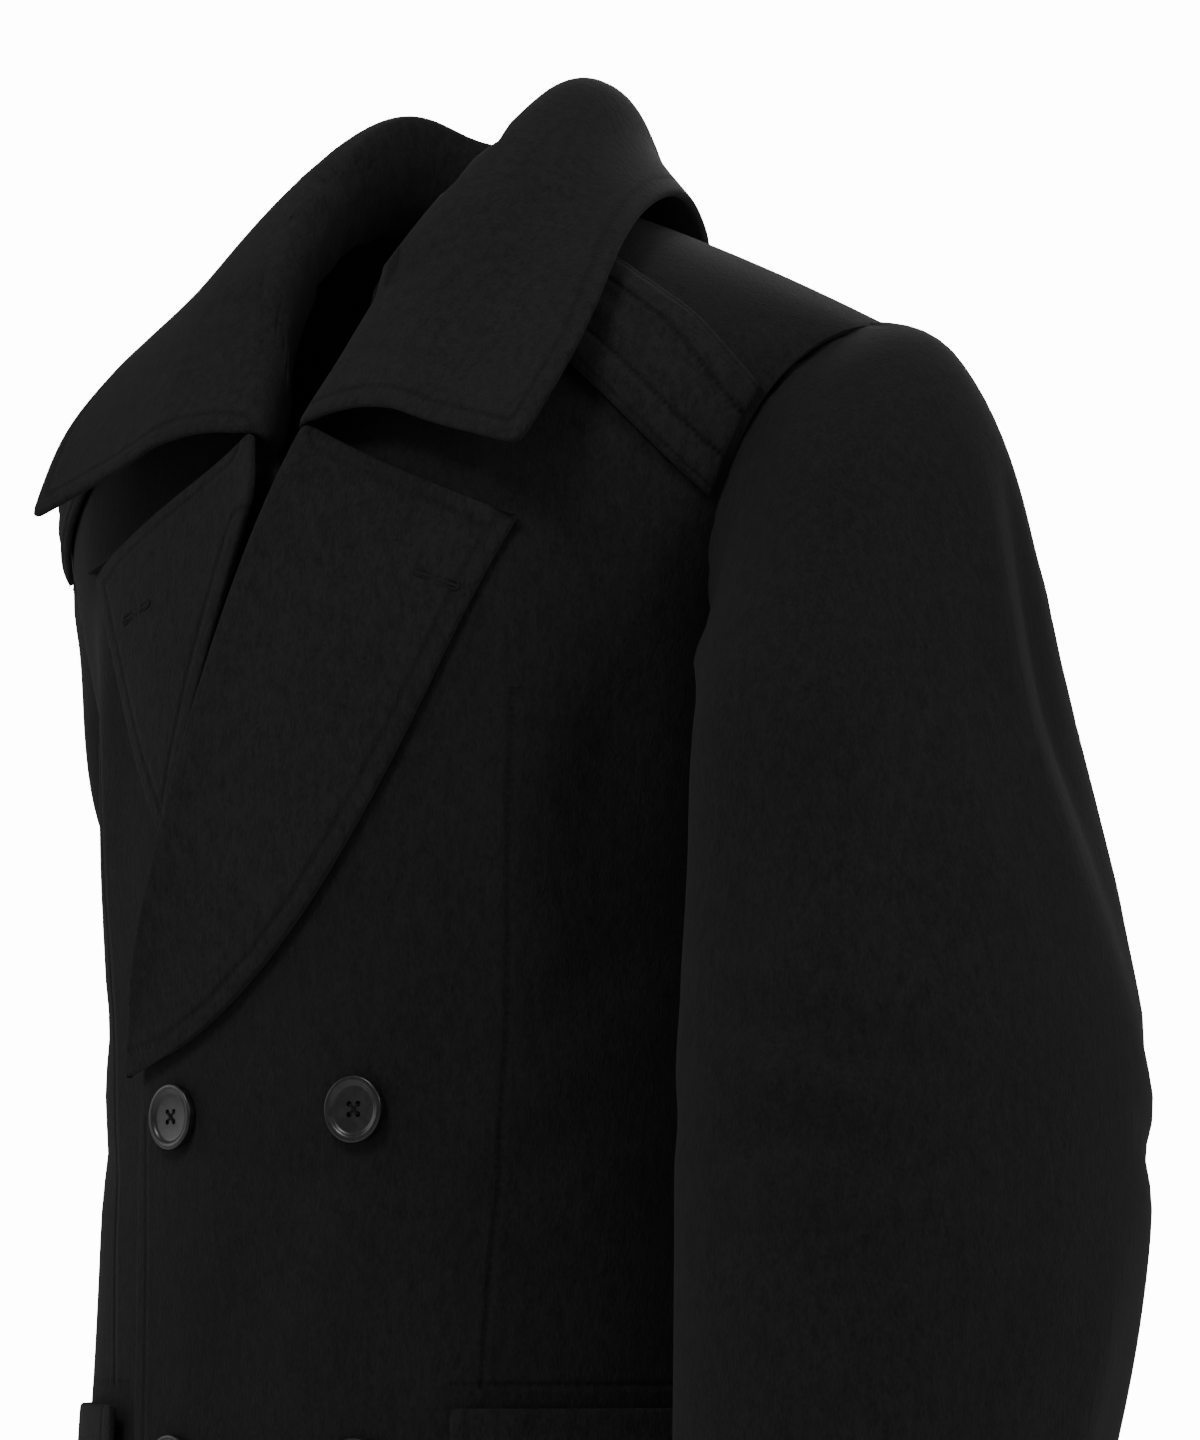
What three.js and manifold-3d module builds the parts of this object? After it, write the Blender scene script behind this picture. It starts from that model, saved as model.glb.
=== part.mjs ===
// A double-breasted wool pea coat, worn open at the neck, as an empty hollow garment.
// Millimetres, +Z up, front towards -Y, the wearer's left towards +X.
// The origin is the middle of the neck opening, level with the shoulder seams' neck ends.
import * as THREE from 'three';
import { mergeVertices } from 'three/addons/utils/BufferGeometryUtils.js';
import Module from 'manifold-3d';

const wasm = await Module();
wasm.setup();

// Driving sizes of the coat
const CLOTH = 2.6;
const DOUBLE_CLOTH = 4.6;
const SEAM_GAP = 0.5;
const HEM_Z = -800;
const ARMPIT_Z = -256;
const NECK_HALF = 58;
const NECK_BACK = 54;
const SHOULDER_HALF = 238;
const SHOULDER_DROP = 90;
const SHOULDER_Y = 14;
const SHOULDER_ROUND = 0.15;
const OVERLAP = 88;
const BREAK_Z = -432;
const ROLL_TOP = { x: 50, z: -40 };

// A level cut through the body is a rounded box of this power, and the yoke closes by its own
const SECTION_POWER = 2.35;
const CLOSING_POWER = 3.2;
const NECK_CURVE = 6;

// Girth of the coat: half width and the depth in front and behind, at each height
const GIRTH = [
  { z: -800, half: 204, front: 150, back: 142 },
  { z: -700, half: 197, front: 149, back: 134 },
  { z: -560, half: 186, front: 149, back: 124 },
  { z: -430, half: 179, front: 151, back: 118 },
  { z: -340, half: 182, front: 154, back: 122 },
  { z: -256, half: 192, front: 152, back: 128 },
  { z: -170, half: 222, front: 143, back: 130 },
  { z: -90, half: 268, front: 128, back: 120 },
  { z: 20, half: 300, front: 108, back: 104 },
];

// Distance of the armhole seam from the middle, at each height
const ARMHOLE = [
  { z: -256, front: 189, back: 189 },
  { z: -225, front: 189, back: 186 },
  { z: -185, front: 197, back: 192 },
  { z: -140, front: 213, back: 208 },
  { z: -90, front: 236, back: 236 },
];

// Drape folds of the body: place, height range, width and depth (in is positive)
const FRONT_FOLDS = [
  { x: 160, top: -150, bottom: -430, width: 16, depth: 5 },
  { x: 132, top: -170, bottom: -400, width: 15, depth: -3 },
  { x: 60, top: -470, bottom: -640, width: 20, depth: 2 },
  { x: 150, top: -600, bottom: -860, width: 24, depth: -5 },
];
const BACK_FOLDS = [
  { x: 156, top: -140, bottom: -400, width: 20, depth: 5 },
  { x: 70, top: -520, bottom: -900, width: 30, depth: 5 },
  { x: 130, top: -480, bottom: -900, width: 30, depth: -4 },
];

const clamp = (v, low, high) => Math.min(high, Math.max(low, v));
const mix = (a, b, t) => a + (b - a) * t;
const smooth = (a, b, v) => {
  const t = clamp((v - a) / (b - a), 0, 1);
  return t * t * (3 - 2 * t);
};

// Reads a named column of a table at a height, with smooth joins between the rows
function column(rows, name, key, at) {
  let i = 0;
  while (i < rows.length - 2 && at > rows[i + 1][key]) i += 1;
  const a = rows[i];
  const b = rows[i + 1];
  const span = b[key] - a[key];
  const t = clamp((at - a[key]) / span, 0, 1);
  const before = rows[Math.max(0, i - 1)];
  const after = rows[Math.min(rows.length - 1, i + 2)];
  const slopeA = ((b[name] - before[name]) / (b[key] - before[key])) * span;
  const slopeB = ((after[name] - a[name]) / (after[key] - a[key])) * span;
  const t2 = t * t;
  const t3 = t2 * t;
  return (2 * t3 - 3 * t2 + 1) * a[name] + (t3 - 2 * t2 + t) * slopeA
    + (3 * t2 - 2 * t3) * b[name] + (t3 - t2) * slopeB;
}

// Height of the shoulder seam, and of the neck seam between its ends
function seamZ(x) {
  const out = Math.abs(x);
  if (out < NECK_HALF) return NECK_CURVE * Math.cos((out / NECK_HALF) * Math.PI / 2);
  const t = (out - NECK_HALF) / (SHOULDER_HALF - NECK_HALF);
  return -SHOULDER_DROP * mix(t, t * t, SHOULDER_ROUND);
}

// How far back the shoulder seam or the back neck lies
function seamY(x) {
  const out = Math.abs(x);
  if (out >= NECK_HALF) return SHOULDER_Y;
  return mix(SHOULDER_Y, NECK_BACK, Math.sqrt(1 - (out / NECK_HALF) ** 2));
}

// Every fold fades in below its top and out above its bottom
const FOLD_FADE_TOP = 60;
const FOLD_FADE_BOTTOM = 90;

// How far the folds push the cloth in at a place
function foldDepth(folds, x, z) {
  let sum = 0;
  for (const fold of folds) {
    const fadeIn = smooth(fold.top, fold.top - FOLD_FADE_TOP, z);
    const reach = fadeIn * smooth(fold.bottom, fold.bottom + FOLD_FADE_BOTTOM, z);
    sum += fold.depth * reach * Math.exp(-(((x - fold.x) / fold.width) ** 2));
  }
  return sum;
}

// Folds die away where the body turns to its side, so the side seams stay straight
const SIDE_PLAIN = 0.35;

// A point of the body at a turn from the middle line; side is -1 in front and 1 behind
function girthPoint(turn, z, side) {
  const half = column(GIRTH, 'half', 'z', z);
  const deep = column(GIRTH, side < 0 ? 'front' : 'back', 'z', z);
  const power = 2 / SECTION_POWER;
  const sin = Math.sin(turn);
  const cos = Math.cos(turn);
  const x = half * Math.sign(sin) * Math.abs(sin) ** power;
  const folds = foldDepth(side < 0 ? FRONT_FOLDS : BACK_FOLDS, Math.abs(x), z);
  const y = side * (deep * Math.abs(cos) ** power - folds * smooth(0, SIDE_PLAIN, Math.abs(cos)));
  return new THREE.Vector3(x, y, z);
}

// The body's front or back as a height over the X-Z plane, closing at the shoulder seam
function bodyY(x, z, side) {
  const half = column(GIRTH, 'half', 'z', z);
  const deep = column(GIRTH, side < 0 ? 'front' : 'back', 'z', z);
  const ratio = Math.min(1, Math.abs(x) / half);
  const folds = foldDepth(side < 0 ? FRONT_FOLDS : BACK_FOLDS, Math.abs(x), z);
  const cos = (1 - ratio ** SECTION_POWER) ** (1 / SECTION_POWER);
  const plain = side * (deep * cos - folds * smooth(0, SIDE_PLAIN, cos));
  if (z <= ARMPIT_Z) return plain;
  const rise = clamp((z - ARMPIT_Z) / (seamZ(x) - ARMPIT_Z), 0, 1);
  const closing = Math.sqrt(1 - rise ** CLOSING_POWER);
  return seamY(x) * (1 - closing) + plain * closing;
}

const surface = (x, z, side) => new THREE.Vector3(x, bodyY(x, z, side), z);

// A point raised off the body's front by a distance along the cloth's own normal
function raised(x, z, lift, side = -1) {
  const step = 2;
  const p = surface(x, z, side);
  const dx = surface(x + step, z, side).sub(surface(x - step, z, side));
  const dz = surface(x, z + step, side).sub(surface(x, z - step, side));
  const normal = dx.cross(dz).normalize().multiplyScalar(side < 0 ? 1 : -1);
  return p.addScaledVector(normal, lift);
}

// Closes an outer and an inner grid of points into one solid
function slab(outerGrid, innerGrid) {
  const rows = outerGrid.length;
  const cols = outerGrid[0].length;
  const positions = [];
  for (const p of [...outerGrid.flat(), ...innerGrid.flat()]) positions.push(p.x, p.y, p.z);
  const outer = (r, c) => r * cols + c;
  const inner = (r, c) => rows * cols + r * cols + c;
  const index = [];
  const quad = (a, b, c, d) => index.push(a, b, c, a, c, d);
  for (let r = 0; r < rows - 1; r += 1) {
    for (let c = 0; c < cols - 1; c += 1) {
      quad(outer(r, c), outer(r, c + 1), outer(r + 1, c + 1), outer(r + 1, c));
      quad(inner(r, c), inner(r + 1, c), inner(r + 1, c + 1), inner(r, c + 1));
    }
    quad(outer(r, 0), outer(r + 1, 0), inner(r + 1, 0), inner(r, 0));
    quad(outer(r, cols - 1), inner(r, cols - 1), inner(r + 1, cols - 1), outer(r + 1, cols - 1));
  }
  for (let c = 0; c < cols - 1; c += 1) {
    quad(outer(0, c), inner(0, c), inner(0, c + 1), outer(0, c + 1));
    quad(outer(rows - 1, c), outer(rows - 1, c + 1), inner(rows - 1, c + 1), inner(rows - 1, c));
  }
  const geometry = new THREE.BufferGeometry();
  geometry.setAttribute('position', new THREE.Float32BufferAttribute(positions, 3));
  geometry.setIndex(index);
  geometry.computeVertexNormals();
  return geometry;
}

// Turns a grid of outer points into a closed wall; seam gives the normals along its seams,
// and the columns past either edge that pad counts only steer the normals there
function wall(grid, thickness, seam = () => null, pad = 0) {
  const rows = grid.length;
  const cols = grid[0].length - 2 * pad;
  const at = (r, c) => grid[clamp(r, 0, rows - 1)][clamp(c + pad, 0, cols + 2 * pad - 1)];
  const outerGrid = [];
  const innerGrid = [];
  for (let r = 0; r < rows; r += 1) {
    outerGrid.push([]);
    innerGrid.push([]);
    for (let c = 0; c < cols; c += 1) {
      const along = at(r, c + 1).clone().sub(at(r, c - 1));
      const up = at(r + 1, c).clone().sub(at(r - 1, c));
      const normal = seam(r, c) ?? along.cross(up).normalize();
      outerGrid[r].push(at(r, c));
      innerGrid[r].push(at(r, c).clone().addScaledVector(normal, -thickness));
    }
  }
  return slab(outerGrid, innerGrid);
}

// The same shape on the wearer's other side
function mirrored(geometry) {
  const copy = geometry.clone().scale(-1, 1, 1);
  const index = copy.getIndex();
  for (let i = 0; i < index.count; i += 3) {
    const second = index.getX(i + 1);
    index.setX(i + 1, index.getX(i + 2));
    index.setX(i + 2, second);
  }
  copy.computeVertexNormals();
  return copy;
}

const WOOL = { color: 0x0d0d0f, roughness: 0.95, metalness: 0 };
const HORN = { color: 0x16161a, roughness: 0.35, metalness: 0 };
const coat = new THREE.Group();

function add(name, geometry, look = WOOL) {
  const mesh = new THREE.Mesh(geometry, new THREE.MeshStandardMaterial(look));
  mesh.name = name;
  coat.add(mesh);
  return mesh;
}

// Fronts: from the front edge or roll line round to the side seam and the armhole
const FRONT_COLS = 17;
const LOW_ROWS = 11;
const HIGH_ROWS = 9;
const SIDE_TURN = Math.PI / 2 - SEAM_GAP / 200;
const ROLL_END = 1.12;
const NECK_EDGE = NECK_HALF + 4;

// The panels stop a hair short of the seam's own height, where their walls would close up
const RISE_END = 1 - 1e-5;
const SETTLE_PASSES = 12;
const SETTLE_STEP = 0.6;

// How far across the front edge lies: straight up to the break, then along the roll line
function rollX(z) {
  const up = clamp((z - BREAK_Z) / (ROLL_TOP.z - BREAK_Z), 0, ROLL_END);
  return mix(-OVERLAP, ROLL_TOP.x, up);
}

function turnOf(x, z) {
  const ratio = x / column(GIRTH, 'half', 'z', z);
  return Math.asin(clamp(Math.sign(ratio) * Math.abs(ratio) ** (SECTION_POWER / 2), -1, 1));
}

// The grid of one front; inset sets the under front back beneath the overlap
function frontGrid(inset) {
  const grid = [];
  for (let r = 0; r < LOW_ROWS; r += 1) {
    const z = mix(HEM_Z, ARMPIT_Z, r / (LOW_ROWS - 1));
    const start = turnOf(rollX(z), z);
    const row = [];
    for (let c = 0; c < FRONT_COLS; c += 1) {
      const p = girthPoint(mix(start, SIDE_TURN, c / (FRONT_COLS - 1)), z, -1);
      p.y += inset(p.x, z);
      row.push(p);
    }
    grid.push(row);
  }
  for (let r = 1; r < HIGH_ROWS; r += 1) {
    const rise = Math.sin((r / (HIGH_ROWS - 1)) * Math.PI / 2) * RISE_END;
    const row = [];
    const first = grid[LOW_ROWS - 1];
    for (let c = 0; c < FRONT_COLS; c += 1) {
      const low = first[c].x;
      const share = (low - first[0].x) / (first[FRONT_COLS - 1].x - first[0].x);
      let x = low;
      for (let pass = 0; pass < SETTLE_PASSES; pass += 1) {
        const z = mix(ARMPIT_Z, seamZ(x), rise);
        const inner = Math.min(rollX(z), NECK_EDGE);
        const outer = column(ARMHOLE, 'front', 'z', Math.min(z, -SHOULDER_DROP)) - SEAM_GAP;
        x = mix(x, mix(inner, outer, share), SETTLE_STEP);
      }
      const z = mix(ARMPIT_Z, seamZ(x), rise);
      row.push(new THREE.Vector3(x, bodyY(x, z, -1) + inset(x, z), z));
    }
    grid.push(row);
  }
  return grid;
}

// The under front is set back beneath the overlap, and comes level beyond it and near the shoulder
const UNDER_SET = 4.4;
const UNDER_FADE = { from: OVERLAP + 48, to: OVERLAP + 10, top: -60, bottom: -150 };

function underLap(x, z) {
  const beneath = smooth(UNDER_FADE.from, UNDER_FADE.to, x);
  return UNDER_SET * beneath * smooth(UNDER_FADE.top, UNDER_FADE.bottom, z);
}

const UP = new THREE.Vector3(0, 0, 1);
const OUT = new THREE.Vector3(1, 0, 0);

// At the shoulder seam a panel's edge is cut upright, and at the side seam straight out
function frontSeam(r, c) {
  if (r === LOW_ROWS + HIGH_ROWS - 2) return UP;
  return r < LOW_ROWS && c === FRONT_COLS - 1 ? OUT : null;
}

add('front_left', wall(frontGrid(() => 0), CLOTH, frontSeam));
add('front_right', mirrored(wall(frontGrid(underLap), CLOTH, frontSeam)));

// Back: one panel from side seam to side seam, up to the shoulder seams and the back neck
const BACK_COLS = 27;

function backGrid() {
  const grid = [];
  for (let r = 0; r < LOW_ROWS; r += 1) {
    const z = mix(HEM_Z, ARMPIT_Z, r / (LOW_ROWS - 1));
    const row = [];
    for (let c = 0; c < BACK_COLS; c += 1) {
      const p = girthPoint(mix(SIDE_TURN, -SIDE_TURN, c / (BACK_COLS - 1)), z, 1);
      p.y += SEAM_GAP;
      row.push(p);
    }
    grid.push(row);
  }
  const first = grid[LOW_ROWS - 1];
  for (let r = 1; r < HIGH_ROWS; r += 1) {
    const rise = Math.sin((r / (HIGH_ROWS - 1)) * Math.PI / 2) * RISE_END;
    const row = [];
    for (let c = 0; c < BACK_COLS; c += 1) {
      const share = first[c].x / first[0].x;
      let x = first[c].x;
      for (let pass = 0; pass < SETTLE_PASSES; pass += 1) {
        const z = mix(ARMPIT_Z, seamZ(x), rise);
        const outer = column(ARMHOLE, 'back', 'z', Math.min(z, -SHOULDER_DROP)) - SEAM_GAP;
        x = mix(x, outer * share, SETTLE_STEP);
      }
      const z = mix(ARMPIT_Z, seamZ(x), rise);
      row.push(new THREE.Vector3(x, bodyY(x, z, 1) + SEAM_GAP, z));
    }
    grid.push(row);
  }
  return grid;
}

function backSeam(r, c) {
  if (r === LOW_ROWS + HIGH_ROWS - 2) return UP;
  if (r >= LOW_ROWS) return null;
  if (c === 0) return OUT;
  return c === BACK_COLS - 1 ? OUT.clone().negate() : null;
}

add('back', wall(backGrid(), CLOTH, backSeam));

// Lapels: the turned-out facing, from the roll line to its outer edge
// along is the way up the roll line; width and drop shape the outer edge and its peak
const LAPEL_COLS = 9;
const LAPEL_ROLL = 9;
const LAPEL_ROLL_FADE = 5;
const LAPEL_LIFT = 7;
const LAPEL_REST = 5;
const LAPEL = [
  { along: 0, width: 3, drop: 0 },
  { along: 0.14, width: 42, drop: 22 },
  { along: 0.32, width: 82, drop: 26 },
  { along: 0.52, width: 106, drop: 20 },
  { along: 0.72, width: 118, drop: 12 },
  { along: 0.88, width: 124, drop: 16 },
  { along: 1, width: 112, drop: 50 },
];
const LAPEL_ROWS = 13;
const LAPEL_TOP_Z = -136;
const UNDER_CLEAR = 12;
const UNDER_START = 0.4;
const LAPEL_LEAST = 0.97;

// first is how far up the roll line the grid starts; the under lapel ends at the other front's edge
function lapelGrid(first, under) {
  const grid = [];
  for (let r = 0; r < LAPEL_ROWS; r += 1) {
    const along = mix(first, 1, r / (LAPEL_ROWS - 1));
    const rollZ = mix(BREAK_Z + 4, LAPEL_TOP_Z, along);
    const width = column(LAPEL, 'width', 'along', along);
    const drop = column(LAPEL, 'drop', 'along', along);
    const row = [];
    for (let c = 0; c < LAPEL_COLS; c += 1) {
      const hidden = under ? Math.max(0, UNDER_CLEAR - 2 * rollX(rollZ)) / width : 0;
      const across = mix(Math.min(hidden, LAPEL_LEAST), 1, c / (LAPEL_COLS - 1));
      const x = rollX(rollZ) + width * across;
      const z = rollZ - drop * across;
      const roll = LAPEL_ROLL * Math.exp(-across * LAPEL_ROLL_FADE) * smooth(0, 0.2, along);
      row.push(raised(x, z, mix(LAPEL_LIFT, LAPEL_REST, across ** 3) + roll));
    }
    grid.push(row);
  }
  return grid;
}

add('lapel_left', wall(lapelGrid(0, false), DOUBLE_CLOTH));
add('lapel_right', mirrored(wall(lapelGrid(UNDER_START, true), DOUBLE_CLOTH)));

// Sleeves: rings from the armhole down a bent arm; the left and the right are posed apart
// across and deep are a ring's half sizes, and x and y its middle
const SLEEVE_ROWS = 18;
const LEFT_ARM = [
  { x: 263, y: -32, z: -280, across: 65, deep: 107 },
  { x: 268, y: -26, z: -350, across: 79, deep: 113 },
  { x: 275, y: -28, z: -430, across: 87, deep: 124 },
  { x: 276, y: -34, z: -520, across: 86, deep: 121 },
  { x: 277, y: -52, z: -610, across: 79, deep: 110 },
  { x: 276, y: -74, z: -690, across: 70, deep: 92 },
];
const RIGHT_ARM = [
  { x: 238, y: 74, z: -280, across: 44, deep: 76 },
  { x: 229, y: 118, z: -350, across: 49, deep: 79 },
  { x: 227, y: 138, z: -430, across: 54, deep: 82 },
  { x: 226, y: 147, z: -520, across: 57, deep: 84 },
  { x: 231, y: 147, z: -610, across: 56, deep: 81 },
  { x: 236, y: 136, z: -690, across: 54, deep: 76 },
];

// The sleeve head: how far its first ring stands out and up, and its crown on the way to the arm
const LEFT_HEAD = { puff: 13, rise: 4, crownOut: 9, crownUp: 36 };
const RIGHT_HEAD = { puff: 8, rise: 3, crownOut: -6, crownUp: 30 };
const HEAD_FORE = 7;
const UNDERARM = { puff: 6, rise: -5 };
const CROWN_SHARE = 0.4;

const ARMHOLE_SPREAD = 1.02;
const ARM_POWER = 2.3;

// The armhole as a ring of points, from underarm up the front, over the shoulder and down the back
function armholePoint(turn) {
  const up = (1 - Math.cos(turn)) / 2;
  const side = Math.sin(turn) >= 0 ? -1 : 1;
  const z = mix(ARMPIT_Z, -SHOULDER_DROP, up);
  const x = column(ARMHOLE, side < 0 ? 'front' : 'back', 'z', z);
  const spread = Math.min(1, Math.abs(Math.sin(turn)) ** 0.5 * ARMHOLE_SPREAD);
  return new THREE.Vector3(x, mix(SHOULDER_Y * up, bodyY(x, z, side), spread), z);
}

// A point of one of the arm's rings, at a turn that starts beside the body and goes by the front
function armRing(arm, turn, row) {
  const ring = arm[row];
  const power = 2 / ARM_POWER;
  const c = Math.cos(turn);
  const s = Math.sin(turn);
  return new THREE.Vector3(
    ring.x - ring.across * Math.sign(c) * Math.abs(c) ** power,
    ring.y - ring.deep * Math.sign(s) * Math.abs(s) ** power,
    ring.z,
  );
}

const ARMPIT_CLEAR = 6;
const TOP_CLEAR = 0.7;

// One line of the sleeve at a turn, from the armhole seam to the cuff
function sleeveLine(arm, head, turn) {
  const up = (1 - Math.cos(turn)) / 2;
  const start = armholePoint(turn);
  start.x += mix(ARMPIT_CLEAR, TOP_CLEAR, up ** 0.5);
  start.z -= ARMPIT_CLEAR * (1 - up);
  const lip = start.clone().add(new THREE.Vector3(
    mix(UNDERARM.puff, head.puff, up),
    -Math.sin(turn) * HEAD_FORE,
    mix(UNDERARM.rise, head.rise, up),
  ));
  const crown = lip.clone().lerp(armRing(arm, turn, 0), CROWN_SHARE);
  crown.x += head.crownOut * up;
  crown.z += head.crownUp * up;
  const points = [start, lip, crown];
  for (let row = 0; row < arm.length; row += 1) points.push(armRing(arm, turn, row));
  return new THREE.CatmullRomCurve3(points, false, 'centripetal');
}

const ROW_CROWDING = 1.15;

// One piece of a sleeve, between two turns of the ring
function sleeveGrid(arm, head, from, to, cols) {
  const grid = [];
  const lines = [];
  for (let c = -1; c <= cols; c += 1) {
    lines.push(sleeveLine(arm, head, mix(from, to, c / (cols - 1))));
  }
  for (let r = 0; r < SLEEVE_ROWS; r += 1) {
    const down = 1 - (r / (SLEEVE_ROWS - 1));
    grid.push(lines.map((line) => line.getPointAt(down ** ROW_CROWDING)));
  }
  return grid;
}

// Under sleeve: the quarter or so beside the body; upper sleeve: the rest
const UNDER_HALF = 0.95;
const SLEEVE_SEAM = 0.014;
const UNDER_COLS = 8;
const UPPER_COLS = 19;

function sleeve(arm, head, suffix, turnOver) {
  const plain = () => null;
  const from = UNDER_HALF + SLEEVE_SEAM;
  const to = Math.PI * 2 - UNDER_HALF - SLEEVE_SEAM;
  const under = sleeveGrid(arm, head, -UNDER_HALF, UNDER_HALF, UNDER_COLS);
  const upper = sleeveGrid(arm, head, from, to, UPPER_COLS);
  add(`under_sleeve_${suffix}`, turnOver(wall(under, CLOTH, plain, 1)));
  add(`upper_sleeve_${suffix}`, turnOver(wall(upper, CLOTH, plain, 1)));
}

sleeve(LEFT_ARM, LEFT_HEAD, 'left', (geometry) => geometry);
sleeve(RIGHT_ARM, RIGHT_HEAD, 'right', mirrored);

// Collar: one folded leaf round the neck, from its seam up over the roll line and out to its edge
// each row is a place round the left half, from the back's middle to the leaf's front edge
const COLLAR = [
  { foot: [0, 56, 6.6], roll: [0, 66, 44], edge: [0, 112, -34] },
  { foot: [38, 48, 4.2], roll: [38, 52, 47], edge: [68, 96, -28] },
  { foot: [55, 16, 2.6], roll: [52, 12, 58], edge: [104, 32, -4] },
  { foot: [56, -30, -14], roll: [53, -38, 22], edge: [134, -48, -37] },
  { foot: [41, -84, -66], roll: [40, -97, -42], edge: [158, -114, -106] },
  { foot: [15, -129, -132], roll: [15, -144, -124], edge: [150, -149, -160] },
];
const COLLAR_ROWS = 13;
const COLLAR_COLS = 13;

// The leaf turns out over the roll line: where its crest and its middle lie, and how far they stand
const CREST = { share: 0.2, out: 9, up: 6 };
const LEAF_MIDDLE = { share: 0.6, up: 3 };

function collarGrid() {
  const curve = (key) => {
    const half = COLLAR.map((row) => new THREE.Vector3(...row[key]));
    const other = half.slice(1).reverse().map((p) => new THREE.Vector3(-p.x, p.y, p.z));
    return new THREE.CatmullRomCurve3([...other, ...half]);
  };
  const foot = curve('foot');
  const roll = curve('roll');
  const edge = curve('edge');
  const grid = [];
  for (let c = 0; c < COLLAR_COLS * 2 - 1; c += 1) {
    const t = c / (COLLAR_COLS * 2 - 2);
    const low = foot.getPoint(t);
    const top = roll.getPoint(t);
    const hem = edge.getPoint(t);
    const out = hem.clone().sub(top).setZ(0).normalize();
    const crest = top.clone().lerp(hem, CREST.share).addScaledVector(out, CREST.out);
    crest.z += CREST.up;
    const middle = top.clone().lerp(hem, LEAF_MIDDLE.share);
    middle.z += LEAF_MIDDLE.up;
    const section = new THREE.CatmullRomCurve3([low, top, crest, middle, hem], false, 'centripetal');
    grid.push(section.getPoints(COLLAR_ROWS - 1));
  }
  return grid;
}

add('collar', wall(collarGrid(), DOUBLE_CLOTH));

// Shoulder straps: a ribbed strap on the front of each shoulder, from the collar to the armhole
const STRAP_START = 96;
const STRAP_BELOW = 17;
const STRAP_FALL = 20;
const STRAP_WIDTH = 50;
const STRAP_RIBS = 3;
const STRAP_LIFT = 0.7;
const STRAP_THICK = 2.6;
const RIB_HEIGHT = 3.2;
const STRAP_COLS = 9;
const STRAP_ROWS = 13;
const ARMHOLE_CLEAR = 3;

function strap() {
  const outer = [];
  const inner = [];
  for (let r = 0; r < STRAP_ROWS; r += 1) {
    const across = 1 - r / (STRAP_ROWS - 1);
    const rib = RIB_HEIGHT * Math.abs(Math.sin(across * Math.PI * STRAP_RIBS));
    outer.push([]);
    inner.push([]);
    for (let c = 0; c < STRAP_COLS; c += 1) {
      const along = c / (STRAP_COLS - 1);
      const middle = mix(STRAP_START, SHOULDER_HALF, along);
      const z = seamZ(middle) - STRAP_BELOW - STRAP_FALL * along - STRAP_WIDTH * across;
      const end = column(ARMHOLE, 'front', 'z', z) - ARMHOLE_CLEAR;
      const x = mix(STRAP_START, end, along);
      outer[r].push(raised(x, z, STRAP_LIFT + STRAP_THICK + rib));
      inner[r].push(raised(x, z, STRAP_LIFT));
    }
  }
  return slab(outer, inner);
}

add('shoulder_strap_left', strap());
add('shoulder_strap_right', mirrored(strap()));

// Pocket flaps: a plain flap hanging from a level seam at each hip
const FLAP = { from: 100, to: 180, top: -578, height: 62, lift: 1.6, thick: 4 };
const FLAP_COLS = 11;
const FLAP_ROWS = 5;

// A point raised off the lower front along the cloth's own normal
function girthRaised(turn, z, lift) {
  const step = 0.02;
  const along = girthPoint(turn + step, z, -1).sub(girthPoint(turn - step, z, -1));
  const up = girthPoint(turn, z + 1, -1).sub(girthPoint(turn, z - 1, -1));
  return girthPoint(turn, z, -1).addScaledVector(along.cross(up).normalize(), lift);
}

function flap() {
  const outer = [];
  const inner = [];
  const start = turnOf(FLAP.from, FLAP.top);
  const end = turnOf(FLAP.to, FLAP.top);
  for (let r = 0; r < FLAP_ROWS; r += 1) {
    const z = FLAP.top - FLAP.height * (1 - r / (FLAP_ROWS - 1));
    const turns = [];
    for (let c = 0; c < FLAP_COLS; c += 1) {
      turns.push(mix(start, end, c / (FLAP_COLS - 1)));
    }
    outer.push(turns.map((turn) => girthRaised(turn, z, FLAP.lift + FLAP.thick)));
    inner.push(turns.map((turn) => girthRaised(turn, z, FLAP.lift)));
  }
  return slab(outer, inner);
}

add('pocket_flap_left', flap());
add('pocket_flap_right', mirrored(flap()));

// Buttons: four-hole discs with a raised rim, two columns of two on the upper front
// round is how far the edges are rounded off, and holeOff how far a hole lies from the middle
const BUTTON = {
  radius: 15, thick: 4.2, round: 1.6, rim: 3, well: 1.3, slope: 1.2, hole: 1.3, holeOff: 3.1, lift: 0.45,
};
const BUTTON_X = 55;
const BUTTON_ROWS_Z = [-447, -606];
const BUTTON_SIDES = 24;
const HOLE_SIDES = 8;

// A three.js shape as a solid that can be cut, and back again
function solidOf(geometry) {
  const plain = geometry.clone();
  plain.deleteAttribute('normal');
  plain.deleteAttribute('uv');
  const merged = mergeVertices(plain, 1e-4);
  return new wasm.Manifold(new wasm.Mesh({
    numProp: 3,
    vertProperties: Float32Array.from(merged.getAttribute('position').array),
    triVerts: Uint32Array.from(merged.getIndex().array),
  }));
}

function geometryOf(solid) {
  const mesh = solid.getMesh();
  const geometry = new THREE.BufferGeometry();
  geometry.setAttribute('position', new THREE.BufferAttribute(Float32Array.from(mesh.vertProperties), 3));
  geometry.setIndex(new THREE.BufferAttribute(Uint32Array.from(mesh.triVerts), 1));
  geometry.computeVertexNormals();
  return geometry;
}

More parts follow.
